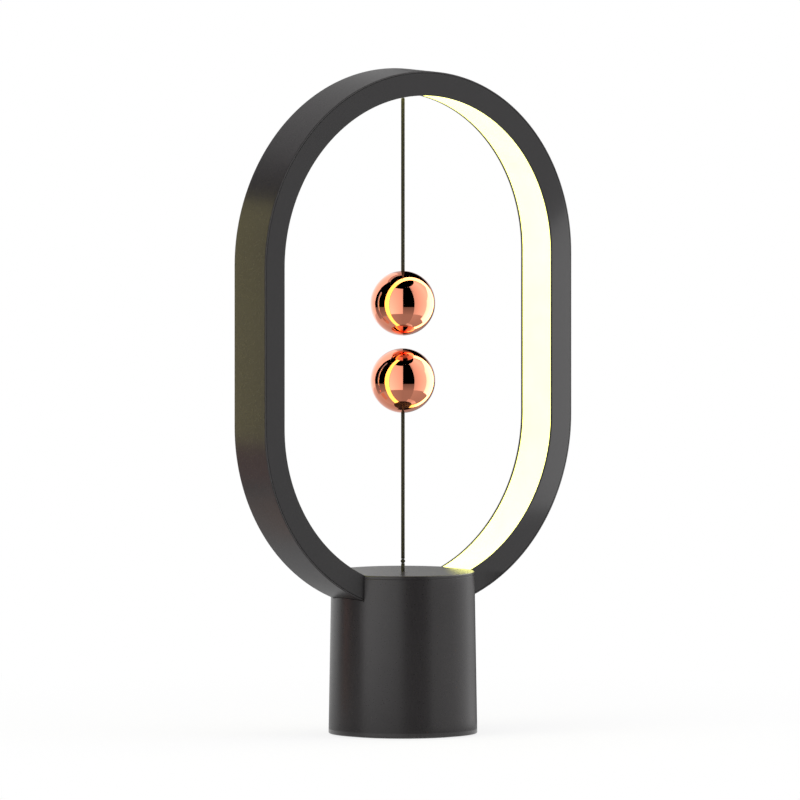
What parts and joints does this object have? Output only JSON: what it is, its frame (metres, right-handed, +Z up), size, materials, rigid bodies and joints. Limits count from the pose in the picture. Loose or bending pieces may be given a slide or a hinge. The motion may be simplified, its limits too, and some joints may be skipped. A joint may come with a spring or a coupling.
{
  "type": "magnetic balance lamp",
  "caption": "Table lamp with an upright oval light ring on a round base; magnetic balls on cords attract each other across a gap, and lifting the lower one works the switch.",
  "frame": {"origin": "middle of the foot, on the surface that the lamp stands on", "axes": "+Z up, -Y towards the front of the ring, +X to the right seen from the front"},
  "size_m": [0.1326, 0.0522, 0.2334],
  "materials": {
    "black_plastic": "satin black moulded",
    "cover_plastic": "satin black moulded",
    "opal_acrylic": "opal, lit from behind",
    "strip_film": "white film",
    "chip_resin": "yellow resin",
    "steel": "bright",
    "ballast_steel": "turned",
    "magnet_nickel": "nickel plated",
    "copper_plate": "mirror polished copper",
    "cord": "braided",
    "foot_rubber": "matt",
    "board_laminate": "green varnish",
    "dark_resin": "moulded",
    "white_plastic": "moulded",
    "wire_sleeve": "extruded",
    "terminal_brass": "stamped"
  },
  "bodies": {
    "lamp": {"ring_channel": "black_plastic", "front_cover": "cover_plastic", "diffuser": "opal_acrylic", "led_strip": "strip_film", "led_chips": "chip_resin", "upper_anchor_pin": "steel", "upper_cord_tail": "cord", "upper_eyelet": "cover_plastic", "base_shell": "black_plastic", "top_cap": "black_plastic", "cord_guide": "cover_plastic", "ring_bridge": "cover_plastic", "bridge_screws": "steel", "bottom_cover": "cover_plastic", "cover_screws": "steel", "ballast": "ballast_steel", "ballast_screw": "steel", "foot_pad": "foot_rubber", "main_board": "board_laminate", "board_screws": "steel", "board_parts": "dark_resin", "wire_connector": "white_plastic", "led_wires": "wire_sleeve", "usb_socket": "steel", "usb_tongue": "dark_resin", "switch_body": "dark_resin", "switch_terminals": "terminal_brass", "rocker_pin": "steel", "return_spring": "steel"},
    "upper_bend": {"upper_cord_bend": "cord"},
    "upper_hanger": {"upper_cord": "cord", "upper_cord_knot": "cord"},
    "upper_ball": {"upper_ball_cord_half": "copper_plate", "upper_ball_magnet_half": "copper_plate", "upper_magnet": "magnet_nickel", "upper_magnet_seat": "white_plastic"},
    "pull_cord": {"pull_cord": "cord"},
    "lower_bend": {"lower_cord_bend": "cord"},
    "lower_hanger": {"lower_cord": "cord", "lower_cord_knot": "cord"},
    "lower_ball": {"lower_ball_cord_half": "copper_plate", "lower_ball_magnet_half": "copper_plate", "lower_magnet": "magnet_nickel", "lower_magnet_seat": "white_plastic"},
    "switch_rocker": {"switch_rocker": "white_plastic"},
    "switch_button": {"switch_button": "white_plastic"}
  },
  "joints": [
    {"name": "upper_swing_front", "type": "hinge", "parent": "lamp", "child": "upper_bend", "pos_m": [0, 0, 0.22423], "axis": [1, 0, 0], "range_deg": [-80, 80]},
    {"name": "upper_swing_side", "type": "hinge", "parent": "upper_bend", "child": "upper_hanger", "pos_m": [0, 0, 0.22423], "axis": [0, 1, 0], "range_deg": [-38, 38]},
    {"name": "upper_ball_spin", "type": "hinge", "parent": "upper_hanger", "child": "upper_ball", "pos_m": [0, 0, 0.1514], "axis": [0, 0, 1], "continuous": true},
    {"name": "cord_lift", "type": "slide", "parent": "lamp", "child": "pull_cord", "axis": [0, 0, 1], "range_m": [-0.0025, 0], "stiffness_N_per_m": 200, "springref_m": 0.003, "deforming": ["return_spring"]},
    {"name": "lower_swing_front", "type": "hinge", "parent": "pull_cord", "child": "lower_bend", "pos_m": [0, 0, 0.06077], "axis": [1, 0, 0], "range_deg": [-80, 80], "stiffness_Nm_per_rad": 0.03},
    {"name": "lower_swing_side", "type": "hinge", "parent": "lower_bend", "child": "lower_hanger", "pos_m": [0, 0, 0.06077], "axis": [0, 1, 0], "range_deg": [-42, 42], "stiffness_Nm_per_rad": 0.03},
    {"name": "lower_ball_spin", "type": "hinge", "parent": "lower_hanger", "child": "lower_ball", "pos_m": [0, 0, 0.1242], "axis": [0, 0, 1], "continuous": true},
    {"name": "rocker_tilt", "type": "hinge", "parent": "lamp", "child": "switch_rocker", "pos_m": [-0.01, 0, 0.033], "axis": [0, 1, 0], "range_deg": [0, 14.4]},
    {"name": "button_press", "type": "slide", "parent": "lamp", "child": "switch_button", "axis": [0, 0, 1], "range_m": [0, 0.001]}
  ],
  "couplings": [
    {"joint": "rocker_tilt", "follows": "cord_lift", "rad_per_m": -100},
    {"joint": "button_press", "follows": "cord_lift", "ratio": -0.4}
  ]
}
